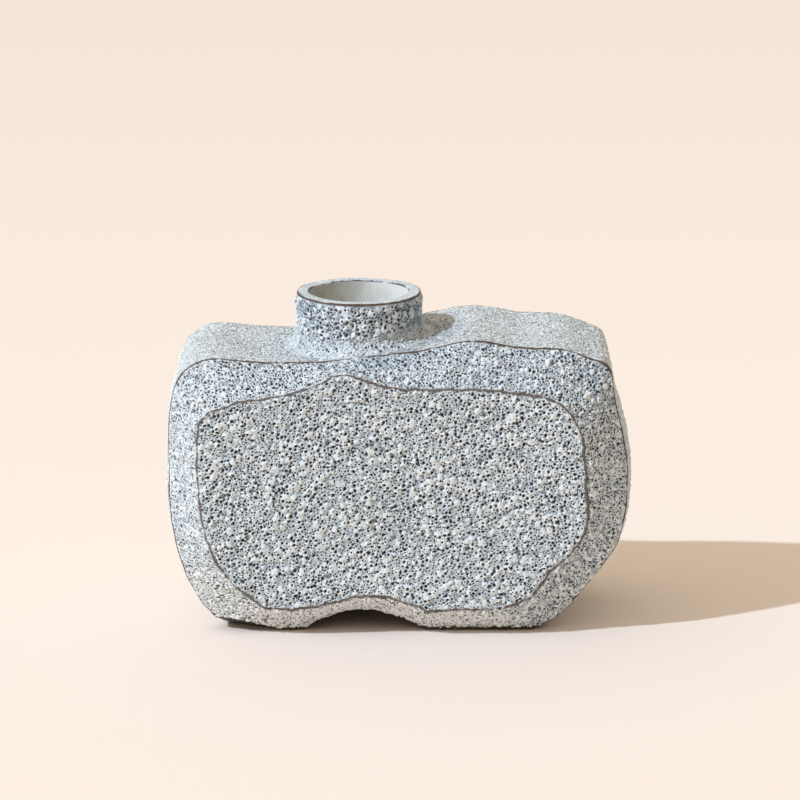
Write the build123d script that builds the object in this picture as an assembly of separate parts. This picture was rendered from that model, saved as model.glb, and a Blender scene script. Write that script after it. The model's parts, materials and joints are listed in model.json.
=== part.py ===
from build123d import *
import os
from math import atan2, degrees

# A slab-built stoneware pillow vase, in millimetres.
# X runs across its width, Y from the front to the back, Z up from the feet.
# Two flat panels stand in front of and behind a belt, each ringed by a bevelled band.
# The band's outer edge is the ridge, its inner edge is the panel's outline.

# Body
body_width = 205.0
body_height = 133.4
belt_depth = 72.0
bevel_rise = 13.0
wall = 6.0
panel_seat = 8.0
side_swell = 2.5

# Neck
neck_offset = 17.9
neck_bore_radius = 22.3
neck_wall = 5.7
neck_height = 23.0
rim_round = 0.8

# Coil smoothed into the corner between the neck and the shoulder
coil_spread = 6.5
coil_height = 7.5
coil_edge = 0.6

# Largest blisters and craters of the glaze on the panels
spot_pitch = 12.0
blister_radius = 1.9
blister_rise = 0.7
crater_radius = 1.4
crater_depth = 0.9
lip_radius = 0.4

# How far their places stray from an even pattern and their sizes from the mean, how many burst,
# and the steps of the irregular sequences that they follow
spot_stray_share = 0.25
size_stray_share = 0.2
burst_share = 0.35
STEP_SHARES = {"across": 0.618, "up": 0.755, "size": 0.382, "burst": 0.570}

# How far a cutter reaches past what it cuts
overrun = 5.0

# Stations of the ridge, clockwise from the left heel as seen from the front, as shares of the body's
# width, from its middle, and of its height. Each stretch ends where the next one starts.
RIDGE_SHARES = {
    "left": [
        (-0.371, 0.000), (-0.449, 0.142), (-0.493, 0.360), (-0.499, 0.630), (-0.491, 0.810),
    ],
    "top": [
        (-0.469, 0.888), (-0.438, 0.925), (-0.340, 0.932), (-0.127, 0.934), (-0.029, 0.952),
        (0.068, 0.973), (0.173, 1.000), (0.268, 0.977), (0.366, 0.968), (0.420, 0.939),
    ],
    "right": [
        (0.454, 0.914), (0.468, 0.832), (0.487, 0.695), (0.499, 0.455), (0.478, 0.300),
        (0.420, 0.169), (0.354, 0.054),
    ],
    "right_foot": [
        (0.293, 0.000),
    ],
    "arch": [
        (0.061, 0.000), (0.005, 0.043), (-0.073, 0.069), (-0.156, 0.046),
    ],
    "left_foot": [
        (-0.207, 0.000),
    ],
}

# Stations of the panel's outline, each facing the ridge station of the same rank
PANEL_SHARES = {
    "left": [
        (-0.283, 0.099), (-0.371, 0.206), (-0.422, 0.375), (-0.436, 0.615), (-0.430, 0.733),
    ],
    "top": [
        (-0.408, 0.777), (-0.361, 0.804), (-0.236, 0.840), (-0.106, 0.905), (-0.034, 0.868),
        (0.068, 0.855), (0.171, 0.855), (0.268, 0.841), (0.334, 0.817), (0.367, 0.782),
    ],
    "right": [
        (0.387, 0.735), (0.401, 0.660), (0.409, 0.510), (0.411, 0.405), (0.391, 0.321),
        (0.324, 0.214), (0.285, 0.137),
    ],
    "right_foot": [
        (0.215, 0.099),
    ],
    "arch": [
        (0.059, 0.092), (0.000, 0.129), (-0.073, 0.143), (-0.151, 0.117),
    ],
    "left_foot": [
        (-0.215, 0.098),
    ],
}

# Rank of the first station of each stretch
FIRST = {}
for stretch_name in RIDGE_SHARES:
    FIRST[stretch_name] = sum(len(RIDGE_SHARES[earlier]) for earlier in FIRST)

# First and last station of each slab that bends along an outline
SLABS = {
    "left": (FIRST["left"], FIRST["top"]),
    "top": (FIRST["top"], FIRST["right"]),
    "right": (FIRST["right"], FIRST["right_foot"]),
    "base": (FIRST["right_foot"], FIRST["left"]),
}


def outline(shares):
    """The stations of an outline, in the plane of the body's middle."""
    stations = [station for stretch in shares.values() for station in stretch]
    return [Vector(across * body_width, 0, up * body_height) for across, up in stations]


def at_depth(stations, depth):
    return [Vector(p.X, depth, p.Z) for p in stations]


def between(stations, others, share):
    """The outline that lies at a share of the way from one outline to another."""
    return [p + (q - p) * share for p, q in zip(stations, others)]


def drawn_in(stations, distance):
    """An outline drawn in by the distance on each side of its box."""
    low = Vector(min(p.X for p in stations), 0, min(p.Z for p in stations))
    high = Vector(max(p.X for p in stations), 0, max(p.Z for p in stations))
    middle = (low + high) / 2
    half = (high - low) / 2
    across = 1 - distance / half.X
    up = 1 - distance / half.Z
    return [
        Vector(middle.X + (p.X - middle.X) * across, p.Y, middle.Z + (p.Z - middle.Z) * up)
        for p in stations
    ]


# How far back the front ridge, the face of the front panel and its seat lie
ridge_depth = -belt_depth / 2
face_depth = ridge_depth - bevel_rise
seat_depth = face_depth + wall

ridge = outline(RIDGE_SHARES)
panel = outline(PANEL_SHARES)
seat = between(ridge, panel, (bevel_rise - wall) / bevel_rise)
ridge_inside = drawn_in(ridge, wall)
seat_inside = drawn_in(seat, panel_seat)

# Every outline is drawn at the pace of the ridge, so that stations of the same rank face each other.
PACE = [0.0]
for here, there in zip(ridge, ridge[1:]):
    PACE.append(PACE[-1] + (there - here).length)


def curve(stations, start, end):
    """The smooth curve through the stations from the start of one stretch to the start of another."""
    ranks = slice(FIRST[start], FIRST[end] + 1)
    return Edge.make_spline(stations[ranks], parameters=PACE[ranks])


def slab_edges(stations, side):
    """The edges of one slab along an outline: part of the curve over the top, or the feet and the arch."""
    if side == "base":
        right_heel, right_toe = stations[FIRST["right_foot"]], stations[FIRST["arch"]]
        left_toe, left_heel = stations[FIRST["left_foot"]], stations[FIRST["left"]]
        right_foot = Edge.make_line(right_heel, right_toe)
        left_foot = Edge.make_line(left_toe, left_heel)
        return [right_foot, curve(stations, "arch", "left_foot"), left_foot]
    first, last = SLABS[side]
    return [curve(stations, "left", "right_foot").trim(stations[first], stations[last])]


def outline_face(stations):
    return Face(Wire([edge for side in SLABS for edge in slab_edges(stations, side)]))


def slab_face(outer, inner, side):
    """The section of a bent slab: one stretch of two outlines, closed by a mitre at each end."""
    mitres = [Edge.make_line(outer[rank], inner[rank]) for rank in SLABS[side]]
    return Face(Wire(slab_edges(outer, side) + slab_edges(inner, side) + mitres))


def through_belt(face):
    """A section carried straight from the front ridge to the back ridge."""
    return extrude(face.moved(Pos(0, ridge_depth, 0)), amount=belt_depth, dir=(0, 1, 0))


def flank_moves(side):
    """How far out each station lies at mid depth: nothing at the heel and the top corner."""
    first, last = SLABS[side]
    outward = -1 if side == "left" else 1
    corner = max(ridge[first].Z, ridge[last].Z)
    moves = [Vector(0, 0, 0)] * len(ridge)
    for rank in range(first, last + 1):
        rise_share = ridge[rank].Z / corner
        swell_share = (4 * rise_share * (1 - rise_share)) ** 2
        moves[rank] = Vector(outward * side_swell * swell_share, 0, 0)
    return moves


def flank_wall(side):
    """A side of the belt, flush with both ridges and swollen between them."""
    moves = flank_moves(side)
    swollen = [p + move for p, move in zip(ridge, moves)]
    swollen_inside = [p + move for p, move in zip(ridge_inside, moves)]
    at_ridge = slab_face(ridge, ridge_inside, side)
    at_middle = slab_face(swollen, swollen_inside, side)
    front_ridge = at_ridge.moved(Pos(0, ridge_depth, 0))
    back_ridge = at_ridge.moved(Pos(0, -ridge_depth, 0))
    return loft([front_ridge, at_middle, back_ridge])


def bevel_strip(side):
    """A strip of the front band, from the belt's edge up the slope to the seat of the panel."""
    at_ridge = slab_face(at_depth(ridge, ridge_depth), at_depth(ridge_inside, ridge_depth), side)
    at_seat = slab_face(at_depth(seat, seat_depth), at_depth(seat_inside, seat_depth), side)
    return loft([at_ridge, at_seat], ruled=True)


def irregular(rank, way):
    """A value between 0 and 1 for each place of a pattern, in no clear order."""
    return rank * STEP_SHARES[way] % 1


def stray(rank, way):
    return 2 * irregular(rank, way) - 1


def glaze_spots():
    """The places of the large forms of the glaze: staggered rows, strayed, clear of the panel's edge."""
    face = outline_face(panel)
    edge = face.outer_wire()
    span = face.bounding_box().size
    middle = face.bounding_box().center()
    clear = blister_radius + crater_radius
    rows = HexLocations(spot_pitch / 2, int(span.X / spot_pitch) + 1, int(span.Z / spot_pitch) + 2)
    spots = []
    for rank, even_place in enumerate(rows):
        across = even_place.position.X + spot_pitch * spot_stray_share * stray(rank, "across")
        up = even_place.position.Y + spot_pitch * spot_stray_share * stray(rank, "up")
        spot = middle + Vector(across, 0, up)
        if face.is_inside(spot) and edge.distance_to(spot) > clear:
            spots.append(spot)
    return spots


def ball_radius(radius, rise):
    """The radius of the ball whose cap has this radius and rise."""
    return (radius ** 2 + rise ** 2) / (2 * rise)


def blister(spot, size_share):
    """A bubble that didn't burst: the cap of a ball, with the rest of its half inside the slab."""
    rise = blister_rise * size_share
    ball = ball_radius(blister_radius * size_share, rise)
    half = Sphere(ball, arc_size1=0, align=(Align.CENTER, Align.CENTER, Align.MIN))
    return Pos(spot.X, face_depth + ball - rise, spot.Z) * Rot(90, 0, 0) * half


def crater_lip(spot, size_share):
    """The ring that a burst bubble leaves round its crater."""
    ring = Torus(crater_radius * size_share, lip_radius * size_share)
    return Pos(spot.X, face_depth, spot.Z) * Rot(90, 0, 0) * ring


def crater_bowl(spot, size_share):
    """The hollow of a burst bubble."""
    depth = crater_depth * size_share
    ball = ball_radius(crater_radius * size_share, depth)
    return Pos(spot.X, face_depth + depth - ball, spot.Z) * Sphere(ball)


def front_panel():
    """The front panel: a slab on its seat, its edge cut on the slope of the band, its face blistered."""
    at_seat = outline_face(at_depth(seat, seat_depth))
    at_face = outline_face(at_depth(panel, face_depth))
    raised, hollows = [], []
    for rank, spot in enumerate(glaze_spots()):
        size_share = 1 + size_stray_share * stray(rank, "size")
        if irregular(rank, "burst") < burst_share:
            raised.append(crater_lip(spot, size_share))
            hollows.append(crater_bowl(spot, size_share))
        else:
            raised.append(blister(spot, size_share))
    return loft([at_seat, at_face], ruled=True) + raised - hollows


# The neck stands where the shoulder climbs, so its foot and its coil follow that slope.
neck_x = -neck_offset
neck_radius = neck_bore_radius + neck_wall
shoulder_line = slab_edges(ridge, "top")[0]


def shoulder_height(x):
    """The height of the shoulder's outer surface at a place across the width."""
    plumb = Edge.make_line((x, 0, 0), (x, 0, body_height + overrun))
    return shoulder_line.intersect(plumb).vertices()[0].Z


foot_left = shoulder_height(neck_x - neck_radius)
foot_right = shoulder_height(neck_x + neck_radius)
foot_middle = shoulder_height(neck_x)
shoulder_tilt = degrees(atan2(foot_right - foot_left, 2 * neck_radius))
coil_seat = (foot_left + foot_right + 2 * foot_middle) / 4
rim_height = foot_middle + neck_height
sunk_height = foot_left - overrun

# The belt as one filled block, to cut the neck and its coil to the shoulder's outer surface
body = through_belt(outline_face(ridge))


def upright(radius, bottom, top):
    """A round bar on the neck's axis, between two heights."""
    bar = Cylinder(radius, top - bottom, align=(Align.CENTER, Align.CENTER, Align.MIN))
    return Pos(neck_x, 0, bottom) * bar


def neck_collar():
    """The neck: a straight ring with a flat rim, its foot cut to the shoulder."""
    bar = upright(neck_radius, sunk_height, rim_height)
    ring = bar - upright(neck_bore_radius, sunk_height, rim_height)
    rim_edges = ring.edges().group_by(Axis.Z)[-1]
    return fillet(rim_edges, rim_round) - body


def neck_joint_coil():
    """The coil: a ring with a hollow slope, laid along the shoulder and cut to it and to the neck."""
    inside = neck_radius - overrun
    outside = neck_radius + coil_spread
    top = (neck_radius + coil_edge, 0, coil_height)
    toe = (outside, 0, coil_edge)
    slope = Edge.make_tangent_arc(top, (0, 0, -1), toe)
    rest = Polyline(toe, (outside, 0, -overrun), (inside, 0, -overrun), (inside, 0, coil_height), top)
    ring = revolve(make_face([slope] + rest.edges()), axis=Axis.Z)
    laid = Pos(neck_x, 0, coil_seat) * Rot(0, -shoulder_tilt, 0) * ring
    over_belt = Box(body_width, belt_depth, rim_height, align=(Align.CENTER, Align.CENTER, Align.MIN))
    return (laid & over_belt) - upright(neck_radius, sunk_height, rim_height) - body


pieces = {"front_panel": front_panel()}
for side in SLABS:
    pieces["front_bevel_" + side] = bevel_strip(side)
for name, piece in list(pieces.items()):
    pieces[name.replace("front", "back")] = mirror(piece, about=Plane.XZ)

pieces["left_wall"] = flank_wall("left")
pieces["right_wall"] = flank_wall("right")
pieces["base_slab"] = through_belt(slab_face(ridge, ridge_inside, "base"))
shoulder = through_belt(slab_face(ridge, ridge_inside, "top"))
pieces["shoulder_slab"] = shoulder - upright(neck_bore_radius, wall, rim_height)
pieces["neck_collar"] = neck_collar()
pieces["neck_joint_coil"] = neck_joint_coil()

os.makedirs("parts", exist_ok=True)
for name, piece in pieces.items():
    export_step(piece, "parts/" + name + ".step")
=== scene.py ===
import json
import bpy
import numpy as np
from math import pi, radians
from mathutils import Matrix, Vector, kdtree
from mathutils.bvhtree import BVHTree


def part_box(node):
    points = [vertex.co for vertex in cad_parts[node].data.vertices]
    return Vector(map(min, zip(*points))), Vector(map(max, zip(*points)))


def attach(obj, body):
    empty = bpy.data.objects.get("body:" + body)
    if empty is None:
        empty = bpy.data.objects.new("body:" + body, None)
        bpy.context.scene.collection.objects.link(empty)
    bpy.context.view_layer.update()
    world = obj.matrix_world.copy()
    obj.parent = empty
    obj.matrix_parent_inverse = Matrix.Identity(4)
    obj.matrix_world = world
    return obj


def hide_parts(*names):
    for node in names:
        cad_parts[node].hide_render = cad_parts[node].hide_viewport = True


# A slab-built pillow vase with a crater glaze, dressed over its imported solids.
# Lengths are in millimetres until a mesh is made. X runs across the width, -Y faces the front, Z is up.

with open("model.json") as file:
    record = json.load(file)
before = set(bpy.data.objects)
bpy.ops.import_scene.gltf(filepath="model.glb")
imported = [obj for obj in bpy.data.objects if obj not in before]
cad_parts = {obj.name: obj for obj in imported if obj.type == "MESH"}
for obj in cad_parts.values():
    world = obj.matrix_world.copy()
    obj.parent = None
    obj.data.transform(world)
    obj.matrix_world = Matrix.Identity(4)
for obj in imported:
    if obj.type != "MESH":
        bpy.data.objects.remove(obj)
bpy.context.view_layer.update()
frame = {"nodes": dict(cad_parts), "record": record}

MM = 0.001
FRONT_NODES = ["front_bevel_left", "front_bevel_top", "front_bevel_right", "front_bevel_base"]
STRETCHES = ["left", "top", "right", "base"]

# Grid of the glazed surface
spacing = 0.3
line_step = 0.1
nearness = 0.02
tiny = 1e-9
hidden_step = 4.0
ray_reach = 4.0

# Slabs behind the glazed surface
wall = 6.0
panel_seat = 8.0

# Least outward and forward share of the normal of a sloping face
slope_share = 0.2


def box(node):
    low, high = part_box(node)
    return np.array(low) / MM, np.array(high) / MM


panel_low, panel_high = box("front_panel")
seat_y = panel_high[1]
ridge_y = box("front_bevel_top")[1][1]
heart = (panel_low[[0, 2]] + panel_high[[0, 2]]) / 2

left_low, left_high = box("left_wall")
right_high = box("right_wall")[1]
base_low, base_high = box("base_slab")
top_low, top_high = box("shoulder_slab")
left_heel = np.array([base_low[0], 0.0])
right_heel = np.array([base_high[0], 0.0])
top_left = np.array([top_low[0], left_high[2]])
top_right = np.array([top_high[0], right_high[2]])
left_bulge = box("front_bevel_left")[0][0] - left_low[0]
right_bulge = right_high[0] - box("front_bevel_right")[1][0]


def clockwise(points):
    """The bearing of points from the heart of the panel, clockwise from straight up."""
    return np.arctan2(points[..., 0] - heart[0], points[..., 1] - heart[1])


start_bearing = clockwise(left_heel)


def bearing(points):
    """The bearing of points, clockwise from the left heel of the ridge."""
    return (clockwise(points) - start_bearing) % (2 * pi)


def slope_corners(nodes):
    """The corners of the sloping outer faces of some nodes, found by spreading from the panel's seat."""
    found = []
    for node in nodes:
        mesh = frame["nodes"][node].data
        places = (np.array([vertex.co for vertex in mesh.vertices]) / MM).round(2).tolist()
        sloping = []
        for face in mesh.polygons:
            outward = Vector((face.center.x / MM - heart[0], 0, face.center.z / MM - heart[1])).normalized()
            if face.normal.dot(outward) > slope_share and face.normal.y < -slope_share:
                sloping.append([tuple(places[corner]) for corner in face.vertices])
        reached = {corner for face in sloping for corner in face if abs(corner[1] - seat_y) < nearness}
        before = 0
        while len(reached) > before:
            before = len(reached)
            reached.update(corner for face in sloping if reached.intersection(face) for corner in face)
        found += sorted(reached)
    return np.array(found)


def outline_at(nodes, depth):
    """The points that the sloping faces of some nodes have at a depth, in the order of their bearing."""
    points = slope_corners(nodes)
    points = points[abs(points[:, 1] - depth) < nearness][:, [0, 2]]
    points = np.unique(points.round(2), axis=0)
    return points[np.argsort(bearing(points))]


panel_y = slope_corners(["front_panel"])[:, 1].min()
seat_share = (seat_y - panel_y) / (ridge_y - panel_y)


def travel(line):
    """The way gone along a line at each of its points."""
    return np.concatenate([[0], np.linalg.norm(np.diff(line, axis=0), axis=1).cumsum()])


def smooth_line(points):
    """A smooth line through points, in short steps."""
    pace = travel(points)
    slope = np.gradient(points, pace, axis=0)
    at = np.linspace(0, pace[-1], int(pace[-1] / line_step))
    rank = np.clip(np.searchsorted(pace, at, side="right") - 1, 0, len(points) - 2)
    gap = (pace[rank + 1] - pace[rank])[:, None]
    t = (at - pace[rank])[:, None] / gap
    rise = t * t * (3 - 2 * t)
    leave = t * (1 - t) ** 2 * gap
    arrive = t * t * (t - 1) * gap
    return (
        points[rank] * (1 - rise) + points[rank + 1] * rise
        + slope[rank] * leave + slope[rank + 1] * arrive
    )


def even(line, count):
    """A line divided into equal steps."""
    pace = travel(line)
    at = np.linspace(0, pace[-1], count + 1)
    return np.stack([np.interp(at, pace, line[:, axis]) for axis in range(line.shape[1])], axis=1)


def upper_and_arch(points):
    """The two bent parts of an outline, without the straight feet between them."""
    gaps = np.linalg.norm(np.roll(points, -1, axis=0) - points, axis=1)
    first, second = sorted(np.argsort(gaps)[-2:])
    turned = np.roll(points, -(second + 1), axis=0)
    split = (first - second) % len(points)
    return smooth_line(turned[:split]), smooth_line(turned[split:])


# The ridge, divided into columns that start at the left heel and run clockwise
upper, arch = upper_and_arch(outline_at(FRONT_NODES, ridge_y))
at_top_left = np.argmin(np.linalg.norm(upper - top_left, axis=1))
at_top_right = np.argmin(np.linalg.norm(upper - top_right, axis=1))
left_line = upper[:at_top_left + 1]
top_line = upper[at_top_left:at_top_right + 1]
right_line = upper[at_top_right:]
side_count = round(max(travel(left_line)[-1], travel(right_line)[-1]) / spacing)
wide_count = round(travel(top_line)[-1] / spacing)
right_foot = np.array([right_line[-1], arch[0]])
left_foot = np.array([arch[-1], left_line[0]])
base_lines = [right_foot, arch, left_foot]
base_lengths = np.array([travel(line)[-1] for line in base_lines])
foot_counts = np.round(base_lengths[[0, 2]] / base_lengths.sum() * wide_count).astype(int)
base_counts = [foot_counts[0], wide_count - foot_counts.sum(), foot_counts[1]]
ridge_lines = [even(left_line, side_count), even(top_line, wide_count), even(right_line, side_count)]
ridge_lines += [even(line, count) for line, count in zip(base_lines, base_counts)]
ridge = np.concatenate([line[:-1] for line in ridge_lines])
columns = len(ridge)
stretch_ends = np.cumsum([side_count, wide_count, side_count, wide_count]).tolist()
FIRST_COLUMN = dict(zip(STRETCHES, [0] + stretch_ends))
LAST_COLUMN = dict(zip(STRETCHES, stretch_ends))

# The panel's outline, at bearings that lead its mitres to those of the ridge
panel_upper, panel_arch = upper_and_arch(outline_at(["front_panel"], panel_y))
panel_loop = np.concatenate([panel_upper, panel_arch])
panel_loop = panel_loop[np.argsort(bearing(panel_loop))]
top_seat = outline_at(["front_bevel_top"], seat_y)
base_seat = outline_at(["front_bevel_base"], seat_y)
left_seat = base_seat[np.argmin(base_seat[:, 0])]
right_seat = base_seat[np.argmax(base_seat[:, 0])]
mitre_ridge = np.array([left_heel, top_left, top_right, right_heel])
mitre_seat = np.array([left_seat, top_seat[0], top_seat[-1], right_seat])
mitre_panel = mitre_ridge + (mitre_seat - mitre_ridge) / (1 - seat_share)
ridge_turn = np.append(0, bearing(mitre_ridge[1:]))
panel_turn = ridge_turn + (bearing(mitre_panel) - ridge_turn + pi) % (2 * pi) - pi
ridge_round = np.append(ridge_turn, 2 * pi)
panel_round = np.append(panel_turn, panel_turn[0] + 2 * pi)
facing = np.interp(bearing(ridge), ridge_round, panel_round)
panel_line = np.stack(
    [np.interp(facing, bearing(panel_loop), panel_loop[:, axis], period=2 * pi) for axis in range(2)], axis=1
)


def waver(size, seed):
    """A random sideways sway along the ridge, between a longest and a shortest wave."""
    length = travel(ridge)[-1]
    draws = np.random.default_rng(seed)
    turn = np.linspace(0, 2 * pi, columns, endpoint=False)
    waves = draws.integers(round(length / longest_wave), round(length / shortest_wave), wave_count)
    phases = draws.uniform(0, 2 * pi, len(waves))
    sway = sum(np.sin(wave * turn + phase) / np.sqrt(wave) for wave, phase in zip(waves, phases))
    return size * sway / sway.std()


def outward_of(line):
    """The outward direction in the plane of a closed line."""
    along = np.roll(line, -1, axis=0) - np.roll(line, 1, axis=0)
    along /= np.linalg.norm(along, axis=1)[:, None]
    return np.stack([-along[:, 1], along[:, 0]], axis=1)


def ramp(value, low, high):
    """From 0 at low to 1 at high, softly."""
    t = np.clip((value - low) / (high - low), 0, 1)
    return t * t * (3 - 2 * t)


# Hand-cut edges: how far the ridges and the panel outlines sway
ridge_sway, panel_sway = 0.10, 0.20
longest_wave, shortest_wave = 40.0, 7.0
wave_count = 40
ridge_seeds, panel_seeds = (1, 2), (3, 4)
steady_height = 4.0
sway_reach = 3.0
off_floor = ramp(ridge[:, 1], 0, steady_height)[:, None]
ridge_out, panel_out = outward_of(ridge) * off_floor, outward_of(panel_line)
front_sway, back_sway = [ridge_out * waver(ridge_sway, seed)[:, None] for seed in ridge_seeds]
front_line, back_line = [panel_line + panel_out * waver(panel_sway, seed)[:, None] for seed in panel_seeds]

# Swell of the flanks, in the middle of the depth
swell = np.zeros(columns)
for side, bulge, corner in (("left", -left_bulge, left_high[2]), ("right", right_bulge, right_high[2])):
    part = slice(FIRST_COLUMN[side], LAST_COLUMN[side])
    rise = ridge[part, 1] / corner
    swell[part] = bulge * (4 * rise * (1 - rise)) ** 2

# Rows of the band and the belt, from the front panel over the ridges to the back panel
bevel_length = np.mean(np.hypot(np.linalg.norm(ridge - panel_line, axis=1), ridge_y - panel_y))
bevel_count = round(bevel_length / spacing)
belt_count = round(-2 * ridge_y / spacing)
seat_row = round(bevel_count * seat_share)
ridge_row = bevel_count
back_ridge_row = bevel_count + belt_count
rows = back_ridge_row + bevel_count + 1
back_seat_row = rows - 1 - seat_row


def band_row(row):
    """One row of the surface round the panels, as points in space."""
    if row <= ridge_row:
        share = row / bevel_count
        flat = front_line + (ridge + front_sway - front_line) * share
        depth = panel_y + (ridge_y - panel_y) * share
    elif row >= back_ridge_row:
        share = (rows - 1 - row) / bevel_count
        flat = back_line + (ridge + back_sway - back_line) * share
        depth = -panel_y - (ridge_y - panel_y) * share
    else:
        depth = ridge_y - 2 * ridge_y * (row - ridge_row) / belt_count
        flat = ridge + front_sway * np.exp((ridge_y - depth) / sway_reach)
        flat = flat + back_sway * np.exp((ridge_y + depth) / sway_reach)
        flat[:, 0] += swell * (1 - (depth / ridge_y) ** 2)
    return np.stack([flat[:, 0], np.full(columns, depth), flat[:, 1]], axis=1)


ring_points = np.stack([band_row(row) for row in range(rows)])


def coons(base, right, top, left):
    """A grid between four lines. Base and top run to the right, left and right run up."""
    s = np.linspace(0, 1, len(base))[None, :, None]
    t = np.linspace(0, 1, len(left))[:, None, None]
    lines = base[None] * (1 - t) + top[None] * t + left[:, None] * (1 - s) + right[:, None] * s
    low = base[0] * (1 - s) + base[-1] * s
    high = top[0] * (1 - s) + top[-1] * s
    return lines - low * (1 - t) - high * t


def four_sides(loop):
    """A closed loop of the ring's columns, as the base, right, top and left lines of a grid."""
    closed = np.concatenate([loop, loop[:1]])
    base = closed[FIRST_COLUMN["base"]:LAST_COLUMN["base"] + 1][::-1]
    right = closed[FIRST_COLUMN["right"]:LAST_COLUMN["right"] + 1][::-1]
    top = closed[FIRST_COLUMN["top"]:LAST_COLUMN["top"] + 1]
    left = closed[FIRST_COLUMN["left"]:LAST_COLUMN["left"] + 1]
    return base, right, top, left


def panel_grid(row, first_free):
    """The numbers and the places of a panel's points. Its edge is a row of the ring."""
    number = np.arange(columns) + row * columns
    base, right, top, left = four_sides(number)
    grid = np.zeros((side_count + 1, wide_count + 1), dtype=int)
    inner = (side_count - 1) * (wide_count - 1)
    grid[1:-1, 1:-1] = np.arange(first_free, first_free + inner).reshape(side_count - 1, wide_count - 1)
    grid[0], grid[-1], grid[:, 0], grid[:, -1] = base, top, left, right
    places = coons(*four_sides(ring_points[row]))
    return grid, places[1:-1, 1:-1].reshape(-1, 3)


ring = np.arange(rows * columns).reshape(rows, columns)
front_grid, front_places = panel_grid(0, rows * columns)
back_grid, back_places = panel_grid(rows - 1, rows * columns + len(front_places))
points = np.concatenate([ring_points.reshape(-1, 3), front_places, back_places])

# A heel ground off at the front left: a facet of bare clay that rises from a line on the floor
heel_back = np.array([-77.6, -24.4])
heel_front = np.array([-46.0, -39.0])
heel_rise_share = 0.5
facet_blend = 0.3


def heel_lift(places):
    """How high the ground facet lies over each place. It is below the floor behind its line."""
    along = (heel_front - heel_back) / np.linalg.norm(heel_front - heel_back)
    past = (places[:, 0] - heel_back[0]) * along[1] - (places[:, 1] - heel_back[1]) * along[0]
    return past * heel_rise_share


def quads_of(grid):
    """The faces of a grid of point numbers, turned to the outside for columns that run clockwise."""
    return np.stack([grid[:-1, :-1], grid[:-1, 1:], grid[1:, 1:], grid[1:, :-1]], axis=-1).reshape(-1, 4)


def wrapped(grid, extra=1):
    """A ring of point numbers with its first columns repeated at the end."""
    return np.concatenate([grid, grid[:, :extra]], axis=1)


def normals_of(places, faces):
    """The outward direction at each point, weighed by the faces round it."""
    first, second = places[faces[:, 2]] - places[faces[:, 0]], places[faces[:, 3]] - places[faces[:, 1]]
    facing = np.cross(first, second)
    total = np.zeros_like(places)
    for corner in range(4):
        for axis in range(3):
            total[:, axis] += np.bincount(faces[:, corner], weights=facing[:, axis], minlength=len(places))
    length = np.linalg.norm(total, axis=1)
    return total / np.maximum(length, tiny)[:, None]


skin_faces = np.concatenate([quads_of(wrapped(ring)), quads_of(front_grid), quads_of(back_grid)[:, ::-1]])

lift = heel_lift(points)
facet = ramp(lift - points[:, 2], 0, facet_blend)
points[:, 2] = np.maximum(points[:, 2], lift)
normals = normals_of(points, skin_faces)


def soft_noise(places, wave, seed):
    """Smooth random values between -1 and 1 that change over a wavelength."""
    low = np.array([-130.0, -70.0, -20.0])
    size = np.array([260.0, 140.0, 200.0])
    lattice = np.random.default_rng(seed).uniform(-1, 1, np.ceil(size / wave).astype(int) + 2)
    at = (places - low) / wave
    corner = np.floor(at).astype(int)
    part = at - corner
    part = part * part * (3 - 2 * part)
    total = np.zeros(len(places))
    for step in np.ndindex(2, 2, 2):
        weight = np.prod(np.where(step, part, 1 - part), axis=1)
        total += weight * lattice[tuple((corner + step).T)]
    return total


def layered(places, layers):
    """Soft noise in layers. Each has its wavelength, its seed and its size."""
    return sum(soft_noise(places, wave, seed) * size for wave, seed, size in layers)


# Forms of the bubbling glaze, as shares of a bubble's radius
reach_share = 1.8
spread_share = 0.3
lip_share, lip_width_share, lip_rise_share = 1.4, 0.35, 0.45
bowl_power, dome_power = 0.6, 0.7
dome_share, sink_share = 0.7, 0.2
pit_share = 1.5
pool_shares = (1.1, 0.5)
least_strength_share = 0.55

# Radius above which a pit grows paler, height of a full lump, and the share of pits that lie on lumps
wide_pit = 0.72
lump_height = 0.4
lump_pit_share = 0.2
crowding_power = 1.5

# Bubbles: number to a square millimetre, middle, least and most radius, stretch, and radii apart
BLISTERS = (0.2, 0.98, 0.65, 1.6, 1.8, 1.6)
HOLLOWS = (0.03, 1.2, 0.9, 2.0, 1.5, 0.4)
WIDE_CRATERS = (0.0012, 1.2, 1.0, 1.5, 1.15, 1.9)
CRATERS = (0.70, 0.50, 0.38, 0.85, 1.7, 1.45)
FINE_CRATERS = (0.80, 0.36, 0.30, 0.45, 1.4, 0.95)
RIM_CRATERS = (0.3, 0.30, 0.22, 0.42, 1.5, 0.4)

# Most grid cells that a form reaches over, and the width of the cells in which forms are looked up
most_cells = 24
held_cell = 1.9
STEPS_ROUND = [(i, j, k) for i in (-1, 0, 1) for j in (-1, 0, 1) for k in (-1, 0, 1)]


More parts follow.
